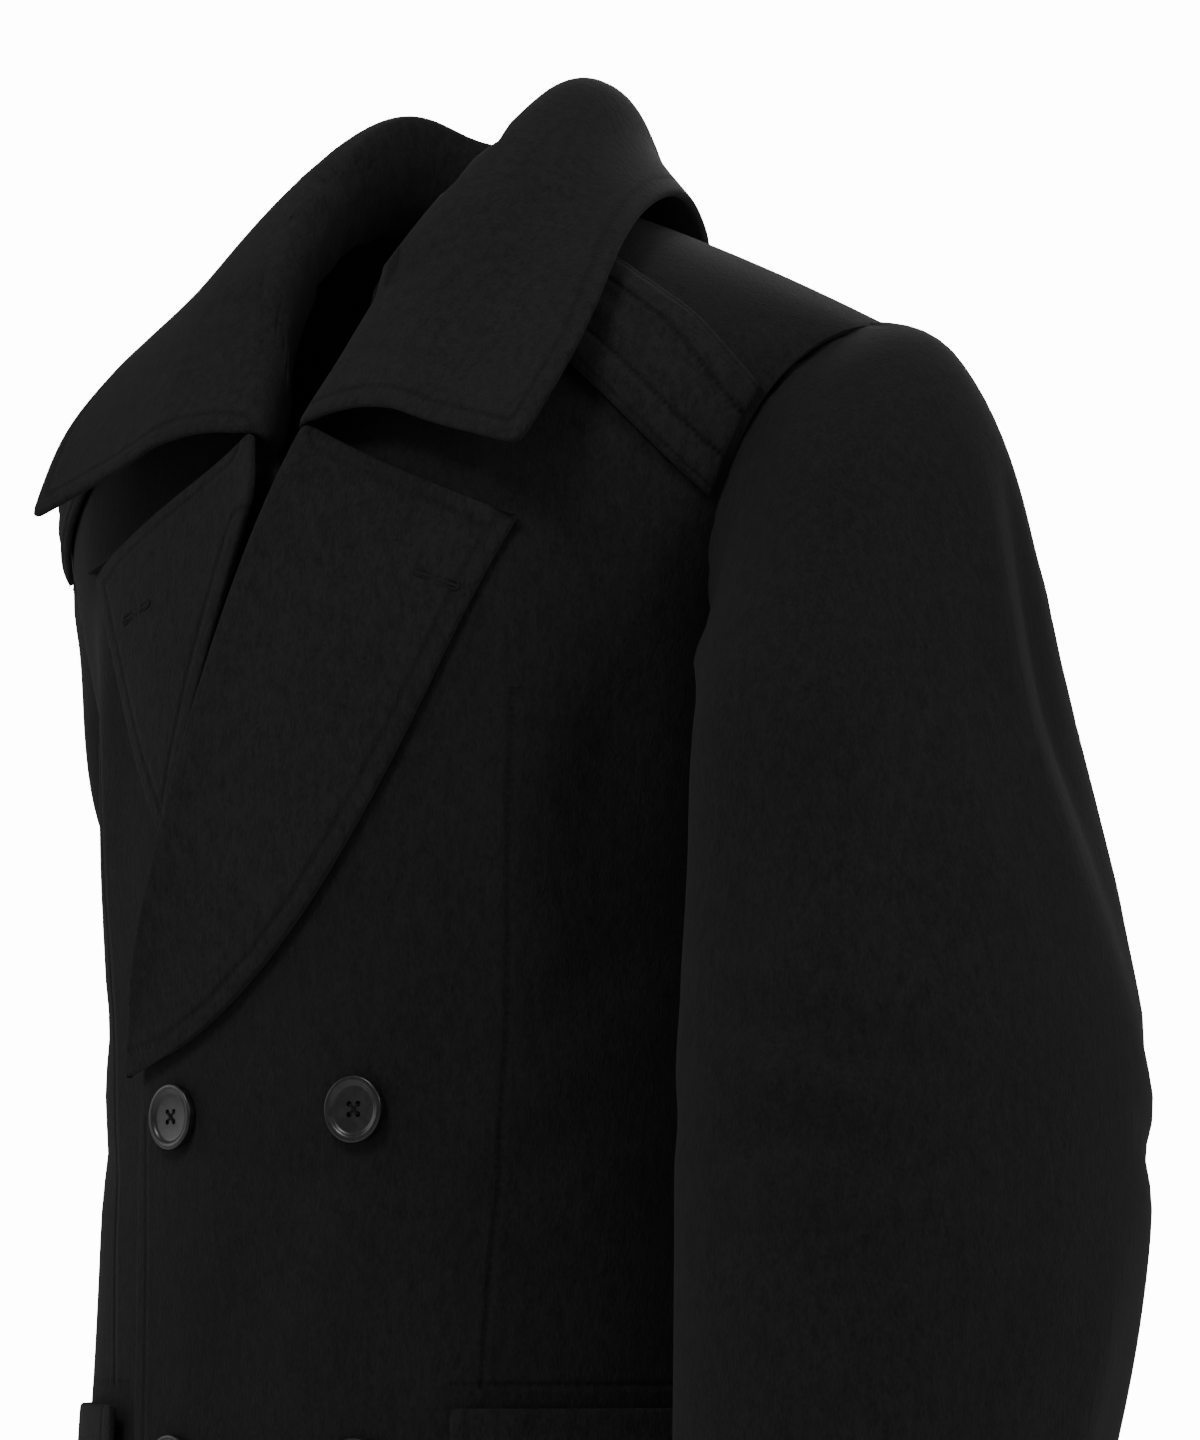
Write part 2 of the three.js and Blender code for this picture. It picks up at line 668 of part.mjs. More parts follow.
function buttonGeometry() {
  const { radius, thick, round, rim, well, slope, hole, holeOff } = BUTTON;
  const profile = [
    [0, 0],
    [radius - round, 0],
    [radius, round],
    [radius - round / 2, thick - round / 4],
    [radius - round, thick],
    [radius - rim, thick - round / 4],
    [radius - rim - slope, thick - well],
    [0, thick - well],
  ].map(([r, h]) => new THREE.Vector2(r, h));
  let solid = solidOf(new THREE.LatheGeometry(profile, BUTTON_SIDES).rotateX(Math.PI / 2));
  for (const [sx, sy] of [[1, 1], [1, -1], [-1, 1], [-1, -1]]) {
    const drill = new THREE.CylinderGeometry(hole, hole, 3 * thick, HOLE_SIDES).rotateX(Math.PI / 2);
    drill.translate(sx * holeOff / Math.SQRT2, sy * holeOff / Math.SQRT2, 0);
    solid = solid.subtract(solidOf(drill));
  }
  return geometryOf(solid);
}

let count = 0;
for (const z of BUTTON_ROWS_Z) {
  for (const x of [-BUTTON_X, BUTTON_X]) {
    count += 1;
    const button = add(`button_${count}`, buttonGeometry(), HORN);
    const base = raised(x, z, BUTTON.lift);
    const facing = raised(x, z, BUTTON.lift + 1).sub(base).normalize();
    button.position.copy(base);
    button.quaternion.setFromUnitVectors(new THREE.Vector3(0, 0, 1), facing);
  }
}

export default coat;
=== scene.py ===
"""A black double-breasted wool pea coat, worn open at the neck, as an empty hollow garment."""
import math

import bmesh
import bpy
from mathutils import Matrix, Vector


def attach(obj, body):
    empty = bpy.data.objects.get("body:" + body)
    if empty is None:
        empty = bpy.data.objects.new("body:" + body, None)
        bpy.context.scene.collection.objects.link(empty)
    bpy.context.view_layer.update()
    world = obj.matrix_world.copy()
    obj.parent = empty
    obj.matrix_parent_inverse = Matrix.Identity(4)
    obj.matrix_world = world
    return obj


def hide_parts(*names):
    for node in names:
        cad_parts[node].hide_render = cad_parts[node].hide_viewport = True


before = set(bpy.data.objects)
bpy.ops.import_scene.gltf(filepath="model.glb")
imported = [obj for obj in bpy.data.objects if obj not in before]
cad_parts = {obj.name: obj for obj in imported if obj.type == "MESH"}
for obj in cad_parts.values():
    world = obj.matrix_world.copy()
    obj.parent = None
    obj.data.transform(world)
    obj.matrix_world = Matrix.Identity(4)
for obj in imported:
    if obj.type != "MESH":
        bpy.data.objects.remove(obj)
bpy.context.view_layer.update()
bpy.ops.object.select_all(action="DESELECT")

# The studio: a pale floor below the hem, a pale backdrop all round and large soft lights.
# The camera looks at the coat's left front, from the height of the lower buttons.
FLOOR_Z = -1.05
FLOOR_SIZE = 14
bpy.ops.mesh.primitive_plane_add(size=FLOOR_SIZE, location=(0, 0, FLOOR_Z))
floor = bpy.context.object
floor.name = "studio_floor"
floor_paint = bpy.data.materials.new("floor_paint")
floor_paint.use_nodes = True
floor_shader = floor_paint.node_tree.nodes["Principled BSDF"]
floor_shader.inputs["Base Color"].default_value = (0.9, 0.9, 0.9, 1)
floor_shader.inputs["Roughness"].default_value = 0.9
floor.data.materials.append(floor_paint)

world = bpy.data.worlds.new("studio_air")
bpy.context.scene.world = world
world.use_nodes = True
air = world.node_tree
air.nodes["Background"].inputs["Color"].default_value = (1, 1, 1, 1)
AIR_ON_COAT = 0.42
AIR_IN_PICTURE = 14.0
seen_first = air.nodes.new("ShaderNodeLightPath")
air_strength = air.nodes.new("ShaderNodeMapRange")
air_strength.inputs["To Min"].default_value = AIR_ON_COAT
air_strength.inputs["To Max"].default_value = AIR_IN_PICTURE
air.links.new(seen_first.outputs["Is Camera Ray"], air_strength.inputs["Value"])
air.links.new(air_strength.outputs["Result"], air.nodes["Background"].inputs["Strength"])

VIEW_TURN = math.radians(38)
VIEW_ASIDE = 0.061
VIEW_MIDDLE_Z = -0.252
VIEW_DISTANCE = 2.15
CAMERA_Z = -0.55
SENSOR_WIDTH = 36
LENS = 135
across = Vector((math.cos(VIEW_TURN), math.sin(VIEW_TURN), 0))
target = across * VIEW_ASIDE + Vector((0, 0, VIEW_MIDDLE_Z))
place = target + Vector((math.sin(VIEW_TURN), -math.cos(VIEW_TURN), 0)) * VIEW_DISTANCE
place.z = CAMERA_Z
bpy.ops.object.camera_add(location=place, rotation=(target - place).to_track_quat("-Z", "Y").to_euler())
camera = bpy.context.object
camera.data.sensor_fit = "HORIZONTAL"
camera.data.sensor_width = SENSOR_WIDTH
camera.data.lens = LENS
bpy.context.scene.camera = camera

# Each row is a light: its name, place, size and power
LIGHT_AIM = Vector((0, 0, -0.35))
LIGHTS = (
    ("key", (0.2, -2.4, 1.9), 1.0, 75),
    ("side", (3.0, -0.2, 1.1), 1.0, 60),
    ("fill", (-2.6, -1.4, 0.4), 1.4, 18),
    ("back", (-1.0, 2.4, 1.4), 1.4, 50),
)
for name, spot, size, power in LIGHTS:
    aim = (LIGHT_AIM - Vector(spot)).to_track_quat("-Z", "Y").to_euler()
    bpy.ops.object.light_add(type="AREA", location=spot, rotation=aim)
    lamp = bpy.context.object
    lamp.name = f"light_{name}"
    lamp.data.size = size
    lamp.data.energy = power

# Wool melton: heavy black fulled cloth, milled until its weave is hidden under a short nap.
# The nap lies downwards in soft streaks, catches light at a grazing angle and pills a little.
MELTON_BLACK = (0.0022, 0.0022, 0.0025, 1)
MELTON_LIFTED = (0.0070, 0.0070, 0.0077, 1)


def link(tree, source, sink):
    """Joins one node's socket to another's."""
    tree.links.new(source, sink)


def melton_group():
    """Colour, roughness and normal of milled wool, from the place on the cloth."""
    tree = bpy.data.node_groups.new("milled_nap", "ShaderNodeTree")
    for name, start in (("Nap Scale", 900.0), ("Streak", 0.5), ("Depth", 0.5)):
        tree.interface.new_socket(name, in_out="INPUT", socket_type="NodeSocketFloat").default_value = start
    tree.interface.new_socket("Nap", in_out="OUTPUT", socket_type="NodeSocketFloat")
    tree.interface.new_socket("Roughness", in_out="OUTPUT", socket_type="NodeSocketFloat")
    tree.interface.new_socket("Normal", in_out="OUTPUT", socket_type="NodeSocketVector")
    nodes = tree.nodes
    given = nodes.new("NodeGroupInput")
    result = nodes.new("NodeGroupOutput")
    place_on = nodes.new("ShaderNodeTexCoord")
    lie = nodes.new("ShaderNodeMapping")
    lie.inputs["Scale"].default_value = (1, 1, 0.45)
    link(tree, place_on.outputs["Object"], lie.inputs["Vector"])
    fibre = nodes.new("ShaderNodeTexNoise")
    fibre.inputs["Detail"].default_value = 4
    fibre.inputs["Roughness"].default_value = 0.65
    link(tree, lie.outputs["Vector"], fibre.inputs["Vector"])
    link(tree, given.outputs["Nap Scale"], fibre.inputs["Scale"])
    clump = nodes.new("ShaderNodeTexNoise")
    clump.inputs["Scale"].default_value = 260
    clump.inputs["Detail"].default_value = 3
    link(tree, lie.outputs["Vector"], clump.inputs["Vector"])
    cloud = nodes.new("ShaderNodeTexNoise")
    cloud.inputs["Scale"].default_value = 14
    cloud.inputs["Detail"].default_value = 2
    link(tree, place_on.outputs["Object"], cloud.inputs["Vector"])
    both = nodes.new("ShaderNodeMath")
    both.operation = "MULTIPLY_ADD"
    link(tree, clump.outputs["Fac"], both.inputs[0])
    link(tree, given.outputs["Streak"], both.inputs[1])
    link(tree, fibre.outputs["Fac"], both.inputs[2])
    faded = nodes.new("ShaderNodeMapRange")
    faded.inputs["To Min"].default_value = 0.88
    faded.inputs["To Max"].default_value = 1.12
    link(tree, cloud.outputs["Fac"], faded.inputs["Value"])
    mixed = nodes.new("ShaderNodeMath")
    mixed.operation = "MULTIPLY"
    link(tree, both.outputs[0], mixed.inputs[0])
    link(tree, faded.outputs["Result"], mixed.inputs[1])
    link(tree, mixed.outputs[0], result.inputs["Nap"])
    rough = nodes.new("ShaderNodeMapRange")
    rough.inputs["To Min"].default_value = 0.86
    rough.inputs["To Max"].default_value = 1.0
    link(tree, clump.outputs["Fac"], rough.inputs["Value"])
    link(tree, rough.outputs["Result"], result.inputs["Roughness"])
    bump = nodes.new("ShaderNodeBump")
    bump.inputs["Distance"].default_value = 0.0009
    link(tree, given.outputs["Depth"], bump.inputs["Strength"])
    link(tree, both.outputs[0], bump.inputs["Height"])
    link(tree, bump.outputs["Normal"], result.inputs["Normal"])
    return tree


milled_nap = melton_group()

# Sewing sinks into the melton as a narrow trough with a soft puckered shoulder on either side.
# Every sewn line is stored on its piece as an attribute: how far aside, and how far along.
STITCH_LENGTH = 0.0032


def sum_node(tree, operation, first, second=None):
    """One sum on one or two values, each a socket or a number, and its result."""
    node = tree.nodes.new("ShaderNodeMath")
    node.operation = operation
    for slot, value in enumerate((first, second)):
        if value is None:
            continue
        if isinstance(value, (int, float)):
            node.inputs[slot].default_value = value
        else:
            link(tree, value, node.inputs[slot])
    return node.outputs[0]


def sewn_group():
    """A sewn line's trough, its stitches and its shoulders, laid over the normal that comes in."""
    tree = bpy.data.node_groups.new("sewn_line", "ShaderNodeTree")
    inputs = (("Aside", 0.0), ("Line Width", 0.0012), ("Length", 1.0), ("Depth", 1.0), ("Stitched", 0.4))
    tree.interface.new_socket("Place", in_out="INPUT", socket_type="NodeSocketVector")
    for name, start in inputs:
        tree.interface.new_socket(name, in_out="INPUT", socket_type="NodeSocketFloat").default_value = start
    tree.interface.new_socket("Normal", in_out="INPUT", socket_type="NodeSocketVector")
    tree.interface.new_socket("Normal", in_out="OUTPUT", socket_type="NodeSocketVector")
    tree.interface.new_socket("Dip", in_out="OUTPUT", socket_type="NodeSocketFloat")
    given = tree.nodes.new("NodeGroupInput")
    result = tree.nodes.new("NodeGroupOutput")
    split = tree.nodes.new("ShaderNodeSeparateXYZ")
    link(tree, given.outputs["Place"], split.inputs[0])
    aside = sum_node(tree, "SUBTRACT", split.outputs["X"], given.outputs["Aside"])
    wide = sum_node(tree, "DIVIDE", aside, given.outputs["Line Width"])
    square = sum_node(tree, "MULTIPLY", wide, wide)
    trough = sum_node(tree, "EXPONENT", sum_node(tree, "MULTIPLY", square, -1.0))
    shoulder = sum_node(tree, "EXPONENT", sum_node(tree, "MULTIPLY", square, -0.12))
    turn = sum_node(tree, "MULTIPLY", split.outputs["Y"], 2 * math.pi / STITCH_LENGTH)
    wave = sum_node(tree, "SINE", turn)
    puckered = sum_node(tree, "MULTIPLY_ADD", wave, given.outputs["Stitched"])
    puckered.node.inputs[2].default_value = 1.0
    sunk = sum_node(tree, "MULTIPLY", trough, puckered)
    started = sum_node(tree, "GREATER_THAN", split.outputs["Y"], 0.0)
    unfinished = sum_node(tree, "LESS_THAN", split.outputs["Y"], given.outputs["Length"])
    within = sum_node(tree, "MULTIPLY", started, unfinished)
    dip = sum_node(tree, "MULTIPLY", sunk, within)
    raise_by = sum_node(tree, "MULTIPLY", sum_node(tree, "MULTIPLY", shoulder, 0.45), within)
    height = sum_node(tree, "SUBTRACT", raise_by, dip)
    bump = tree.nodes.new("ShaderNodeBump")
    bump.inputs["Distance"].default_value = 0.0012
    link(tree, given.outputs["Depth"], bump.inputs["Strength"])
    link(tree, height, bump.inputs["Height"])
    link(tree, given.outputs["Normal"], bump.inputs["Normal"])
    link(tree, bump.outputs["Normal"], result.inputs["Normal"])
    link(tree, dip, result.inputs["Dip"])
    return tree


sewn_line = sewn_group()


def melton(name, streak=0.6, depth=0.9, lifted=MELTON_LIFTED, seams=()):
    """One cloth finish: the nap and the seams steer the colour, roughness and normal of a matt shader, and
    each seam's trough gets painted shade in the colour.

    Each seam is its attribute's name and its values for the sewn line's sockets."""
    cloth = bpy.data.materials.new(name)
    cloth.use_nodes = True
    tree = cloth.node_tree
    shader = tree.nodes["Principled BSDF"]
    nap = tree.nodes.new("ShaderNodeGroup")
    nap.node_tree = milled_nap
    nap.inputs["Streak"].default_value = streak
    nap.inputs["Depth"].default_value = depth
    shade = tree.nodes.new("ShaderNodeValToRGB")
    shade.color_ramp.elements[0].position = 0.58
    shade.color_ramp.elements[0].color = MELTON_BLACK
    shade.color_ramp.elements[1].position = 1.0
    shade.color_ramp.elements[1].color = lifted
    link(tree, nap.outputs["Nap"], shade.inputs["Fac"])
    link(tree, nap.outputs["Roughness"], shader.inputs["Roughness"])
    normal = nap.outputs["Normal"]
    colour = shade.outputs["Color"]
    for attribute, values in seams:
        kept = tree.nodes.new("ShaderNodeAttribute")
        kept.attribute_name = attribute
        line = tree.nodes.new("ShaderNodeGroup")
        line.node_tree = sewn_line
        for socket, value in values.items():
            line.inputs[socket].default_value = value
        link(tree, kept.outputs["Vector"], line.inputs["Place"])
        link(tree, normal, line.inputs["Normal"])
        normal = line.outputs["Normal"]
        # Painted shade: the colour is darkened towards near-black along each seam's trough, in step with how
        # deep it dips.
        shadow = tree.nodes.new("ShaderNodeMix")
        shadow.data_type = "RGBA"
        link(tree, sum_node(tree, "MULTIPLY", line.outputs["Dip"], 0.3), shadow.inputs["Factor"])
        link(tree, colour, shadow.inputs["A"])
        shadow.inputs["B"].default_value = (0.0006, 0.0006, 0.0007, 1)
        colour = shadow.outputs["Result"]
    link(tree, colour, shader.inputs["Base Color"])
    link(tree, normal, shader.inputs["Normal"])
    shader.inputs["Specular IOR Level"].default_value = 0.1
    shader.inputs["Sheen Weight"].default_value = 0.012
    shader.inputs["Sheen Roughness"].default_value = 0.5
    return cloth


melton_body = melton("melton_body")
DOUBLE_LIFTED = (0.0080, 0.0080, 0.0088, 1)

# Fronts: the left laps over the right, each cut in one from front edge to side seam.
# Each is a turned and pressed wall of melton, with a stitched dart from the chest to the pocket.
MM = 0.001
SMOOTH_LEVELS = 2
FINE_LEVELS = 3
SHARP_TURN = math.radians(55)
DART = {"top": (0.128, -0.262), "foot": (0.112, -0.570)}
POCKET_SEAM = {"start": (0.098, -0.568), "end": (0.184, -0.568)}
FRONT_EDGE = {"top": (-0.079, -0.445), "foot": (-0.079, -0.800)}
rims = {}


def dress(piece, material):
    """Gives a piece its finish and its body."""
    piece.data.materials.clear()
    piece.data.materials.append(material)
    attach(piece, "root")


def finish_mesh(piece, material):
    """Gives a piece of cloth its soft shading, its finish and its body."""
    for face in piece.data.polygons:
        face.use_smooth = True
        face.material_index = 0
    dress(piece, material)


def cloth_on(node, name, levels=SMOOTH_LEVELS, edge_crease=0.35, corner_crease=1.0):
    """A thin closed shell on a node's form: merged, made of four-sided faces and rounded off."""
    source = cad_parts[node]
    piece = source.copy()
    piece.data = source.data.copy()
    piece.name = name
    piece.data.name = name
    for key in list(piece.keys()):
        del piece[key]
    bpy.context.scene.collection.objects.link(piece)
    bpy.ops.object.select_all(action="DESELECT")
    piece.select_set(True)
    piece.hide_render = False
    piece.hide_viewport = False
    bpy.context.view_layer.objects.active = piece
    bpy.ops.object.mode_set(mode="EDIT")
    bpy.ops.mesh.select_all(action="SELECT")
    bpy.ops.mesh.remove_doubles(threshold=0.02 * MM)
    bpy.ops.mesh.tris_convert_to_quads(face_threshold=1.2, shape_threshold=1.6)
    bpy.ops.object.mode_set(mode="OBJECT")
    shape = bmesh.new()
    shape.from_mesh(piece.data)
    crease = shape.edges.layers.float.get("crease_edge") or shape.edges.layers.float.new("crease_edge")
    rims[name] = []
    for edge in shape.edges:
        if len(edge.link_faces) == 2 and edge.calc_face_angle(0) > SHARP_TURN:
            edge[crease] = edge_crease
            rims[name].append((edge.verts[0].co.copy(), edge.verts[1].co.copy()))
    corner = shape.verts.layers.float.get("crease_vert") or shape.verts.layers.float.new("crease_vert")
    for vertex in shape.verts:
        if len([edge for edge in vertex.link_edges if edge[crease] > 0]) > 2:
            vertex[corner] = corner_crease
    shape.to_mesh(piece.data)
    shape.free()
    rounder = piece.modifiers.new("rounder", "SUBSURF")
    rounder.levels = levels
    rounder.render_levels = levels
    bpy.ops.object.modifier_apply(modifier="rounder")
    return piece


CREASE_REACH = 3
CREASE_END = 0.1
CREASE_FADE = 0.7


def press(piece, creases, spread):
    """Presses soft troughs and raises ridges along short lines on both faces of a shell.

    A crease is its two ends on the piece's own map, its half width and its depth; depth is
    negative on a ridge. spread gives a point's place on that map and the way out of the cloth."""
    lines = [(Vector(start), Vector(end), width, depth) for start, end, width, depth in creases]
    for vertex in piece.data.vertices:
        spot, out = spread(vertex.co)
        shift = 0.0
        for start, end, width, depth in lines:
            run = end - start
            share = max(0.0, min(1.0, (spot - start).dot(run) / run.length_squared))
            away = (spot - (start + run * share)).length
            if away < CREASE_REACH * width:
                fade = math.sin(math.pi * (CREASE_END + (1 - 2 * CREASE_END) * share)) ** CREASE_FADE
                shift += depth * fade * math.exp(-((away / width) ** 2))
        vertex.co -= out * shift


SIDE_LEAN = 0.4


def on_body(point):
    """The body's map is its front or back view: across and up."""
    out = Vector((point.x * SIDE_LEAN, point.y, 0))
    return Vector((point.x, point.z)), out.normalized()


# Each row is a crease: one end, the other end, half width and depth
FRONT_CREASES = (
    ((0.150, -0.18), (0.156, -0.42), 0.017, 0.0040),
    ((0.122, -0.20), (0.132, -0.38), 0.016, -0.0022),
    ((0.112, -0.36), (0.060, -0.56), 0.024, 0.0026),
    ((0.030, -0.47), (-0.030, -0.58), 0.020, 0.0020),
    ((0.172, -0.43), (0.110, -0.49), 0.014, 0.0026),
    ((0.170, -0.36), (0.128, -0.42), 0.012, 0.0020),
    ((0.000, -0.62), (0.020, -0.79), 0.026, 0.0034),
    ((0.085, -0.64), (0.092, -0.80), 0.022, -0.0030),
    ((0.160, -0.62), (0.168, -0.80), 0.022, 0.0034),
    ((0.170, -0.24), (0.150, -0.31), 0.010, 0.0020),
)


def mark_line(piece, name, start, end, where=on_body):
    """Stores, for a straight seam on a piece's map, how far aside of it and how far along it a point lies."""
    start = Vector(start)
    run = (Vector(end) - start).normalized()
    kept = piece.data.attributes.new(name, "FLOAT_VECTOR", "POINT")
    for vertex in piece.data.vertices:
        spot = where(vertex.co)[0] - start
        kept.data[vertex.index].vector = (spot.x * run.y - spot.y * run.x, spot.dot(run), 0)


SHORTEST_EDGE = 0.006
FAR_ASIDE = 1.0
ALONG_START = 5


def mark_edge(piece, name, sewn):
    """Stores how far in from its nearest edge a point lies, and how far along; sewn picks the edges."""
    edges = [(a, b) for a, b in rims[piece.name] if sewn((a + b) / 2) and (b - a).length > SHORTEST_EDGE]
    kept = piece.data.attributes.new(name, "FLOAT_VECTOR", "POINT")
    for vertex in piece.data.vertices:
        nearest = (FAR_ASIDE, 0.0)
        for a, b in edges:
            run = b - a
            share = (vertex.co - a).dot(run) / run.length_squared
            away = (vertex.co - (a + run * max(0.0, min(1.0, share)))).length
            if away < nearest[0]:
                along = run.normalized() if run.x - run.z > 0 else -run.normalized()
                nearest = (away, ALONG_START + vertex.co.dot(along))
        kept.data[vertex.index].vector = (nearest[0], nearest[1], 0)


def mirrored(creases):
    """The same creases on the other side, a little shifted so that the sides aren't twins."""
    return tuple(
        ((-a[0] + 0.006, a[1] - 0.012), (-b[0] - 0.004, b[1] + 0.009), w * 1.07, d * 0.9)
        for a, b, w, d in creases
    )


SEAM_DEPTH = 0.9
DART_SEAM = {"Line Width": 0.0016, "Length": 0.308, "Depth": SEAM_DEPTH, "Stitched": 0.1}
POCKET_LINE = {"Line Width": 0.0016, "Length": 0.086, "Depth": SEAM_DEPTH, "Stitched": 0.1}
EDGE_LINE = {"Line Width": 0.0015, "Length": 0.355, "Depth": 0.5, "Stitched": 0.15}
melton_front = melton(
    "melton_front", seams=(("dart", DART_SEAM), ("pocket_seam", POCKET_LINE), ("front_edge", EDGE_LINE))
)
for side, sign in (("left", 1), ("right", -1)):
    levels = FINE_LEVELS if side == "left" else SMOOTH_LEVELS
    front = cloth_on(f"front_{side}", f"front_{side}_cloth", levels)
    press(front, FRONT_CREASES if side == "left" else mirrored(FRONT_CREASES), on_body)
    for name, ends in (("dart", DART), ("pocket_seam", POCKET_SEAM), ("front_edge", FRONT_EDGE)):
        start, end = ends.values()
        mark_line(front, name, (sign * start[0], start[1]), (sign * end[0], end[1]))
    finish_mesh(front, melton_front)
    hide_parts(f"front_{side}")

# Back: one panel, side seam to side seam, which hangs from the shoulder seams in long flutes.
# It carries the back neck seam under the collar.
BACK_CREASES = (
    ((0.110, -0.14), (0.056, -0.36), 0.026, 0.0044),
    ((-0.126, -0.16), (-0.064, -0.34), 0.025, 0.0040),
    ((0.020, -0.30), (0.046, -0.78), 0.032, 0.0044),
    ((-0.056, -0.42), (-0.084, -0.80), 0.028, -0.0044),
    ((0.118, -0.45), (0.136, -0.80), 0.028, -0.0040),
    ((-0.152, -0.26), (-0.110, -0.44), 0.020, 0.0038),
    ((0.158, -0.27), (0.128, -0.40), 0.019, 0.0034),
    ((-0.020, -0.46), (0.060, -0.50), 0.018, 0.0026),
)
# Rounding draws every panel's ends in, so the back's are let out again to meet the fronts'.
SHOULDER_LAP = 0.0014
SHOULDER_END = 0.026
SHOULDER_FOOT = -0.1
SIDE_LAP = 0.0027
SIDE_END = 0.006
SIDE_TOP = -0.24
back = cloth_on("back", "back_cloth")
for vertex in back.data.vertices:
    if vertex.co.y < SHOULDER_END and vertex.co.z > SHOULDER_FOOT:
        vertex.co.y -= SHOULDER_LAP
    elif vertex.co.y < SIDE_END and vertex.co.z < SIDE_TOP:
        vertex.co.y -= SIDE_LAP
press(back, BACK_CREASES, on_body)
finish_mesh(back, melton_body)
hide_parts("back")

# Lapels: the front's facing, turned out along the roll line, two layers bagged out and pressed.
# Their edges are thick and soft, with one worked buttonhole below each peak.
EDGE_STITCH = {"Aside": 0.0085, "Line Width": 0.0019, "Length": 20.0, "Depth": 0.7, "Stitched": 0.08}
melton_lapel = melton(
    "melton_lapel", streak=0.7, depth=0.95, lifted=DOUBLE_LIFTED, seams=(("edge_stitch", EDGE_STITCH),)
)
ROLL_FOOT = Vector((-0.088, -0.432))
ROLL_TOP = Vector((0.050, -0.040))
ROLL_CLEAR = 0.012
SOFT_CORNER = 0.4
LAPEL_SIZES = (("left", 1, (0.15, 0.42), 0.034), ("right", -1, (0.13, 0.25), 0.0125))


def beyond_roll(sign):
    """Tells a lapel's outer edges from its roll line, which isn't sewn."""
    line = (ROLL_TOP - ROLL_FOOT).normalized()

    def sewn(middle):
        spot = Vector((sign * middle.x, middle.z)) - ROLL_FOOT
        return spot.x * line.y - spot.y * line.x > ROLL_CLEAR
    return sewn


for side, sign, flat, area in LAPEL_SIZES:
    lapel = cloth_on(f"lapel_{side}", f"lapel_{side}_cloth", FINE_LEVELS, corner_crease=SOFT_CORNER)
    mark_edge(lapel, "edge_stitch", beyond_roll(sign))
    finish_mesh(lapel, melton_lapel)
    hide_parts(f"lapel_{side}")

# Buttonholes: one in each lapel, cut through both layers and whipped round with black thread.
# The slit is dark, and its outer end widens to a small eye.
HOLE_LENGTH = 0.022
HOLE_HALF = 0.0008
HOLE_LIFT = 0.0003
EYE_HALF = 0.0009
EYE_SHARE = 0.44
EYE_SPREAD = 0.0022
WHIP_COUNT = 52
WHIP_HALF = (0.0009, 0.00045, 0.00032)
WHIP_OUT = 0.0007
WHIP_UNEVEN = 0.0001
SLIT_WIDE = 0.0013
SLIT_HIGH = 0.0005
# Each row is a lapel, and its hole's outer and inner end across and up
HOLE_PLACES = (
    ("left", (0.107, -0.2165), (0.085, -0.2075)),
    ("right", (-0.096, -0.2125), (-0.075, -0.2065)),
)
thread_black = bpy.data.materials.new("thread_black")
thread_black.use_nodes = True
thread_shader = thread_black.node_tree.nodes["Principled BSDF"]
thread_shader.inputs["Base Color"].default_value = (0.0026, 0.0026, 0.0029, 1)
thread_shader.inputs["Roughness"].default_value = 0.75
thread_shader.inputs["Specular IOR Level"].default_value = 0.12


def whipped_slit():
    """A ring of short thread stitches, lying flat round a slit along X, its eye at the +X end."""
    bpy.ops.object.select_all(action="DESELECT")
    bpy.ops.mesh.primitive_uv_sphere_add(segments=8, ring_count=6, radius=1, location=(0, 0, 0))
    stitch = bpy.context.object
    whips = []
    for number in range(WHIP_COUNT):
        turn = 2 * math.pi * number / WHIP_COUNT
        along = HOLE_LENGTH / 2 * math.copysign(abs(math.cos(turn)) ** 0.45, math.cos(turn))
        eye = math.exp(-(((along - HOLE_LENGTH * EYE_SHARE) / EYE_SPREAD) ** 2))
        aside = (HOLE_HALF + EYE_HALF * eye) * math.copysign(abs(math.sin(turn)) ** 0.5, math.sin(turn))
        out = Vector((math.cos(turn) ** 7, math.sin(turn), 0)).normalized()
        whip = stitch.copy()
        whip.data = stitch.data.copy()
        bpy.context.scene.collection.objects.link(whip)
        for vertex in whip.data.vertices:
            long, wide, high = (value * half for value, half in zip(vertex.co, WHIP_HALF))
            sideways = out.cross(Vector((0, 0, 1))) * wide
            vertex.co = Vector((along, aside, 0)) + out * (long + WHIP_OUT) + sideways
            vertex.co.z += high + WHIP_UNEVEN * math.sin(number * 2.4)
        whips.append(whip)
    bpy.data.objects.remove(stitch)
    bpy.ops.object.select_all(action="DESELECT")
    bpy.ops.mesh.primitive_cube_add(size=1, location=(0, 0, -0.0001))
    slit = bpy.context.object
    for vertex in slit.data.vertices:
        vertex.co = Vector((vertex.co.x * HOLE_LENGTH, vertex.co.y * SLIT_WIDE, vertex.co.z * SLIT_HIGH))
    for whip in whips:
        whip.select_set(True)
    bpy.ops.object.join()
    bpy.ops.object.transform_apply(location=True, rotation=True, scale=True)
    return slit


def copy_of(model, name, turn, place_at):
    """A copy with its own mesh, turned and placed there, with its object left at the origin."""
    piece = model.copy()
    piece.data = model.data.copy()
    piece.name = name
    piece.data.name = name
    bpy.context.scene.collection.objects.link(piece)
    for vertex in piece.data.vertices:
        vertex.co = turn @ vertex.co + place_at
    return piece


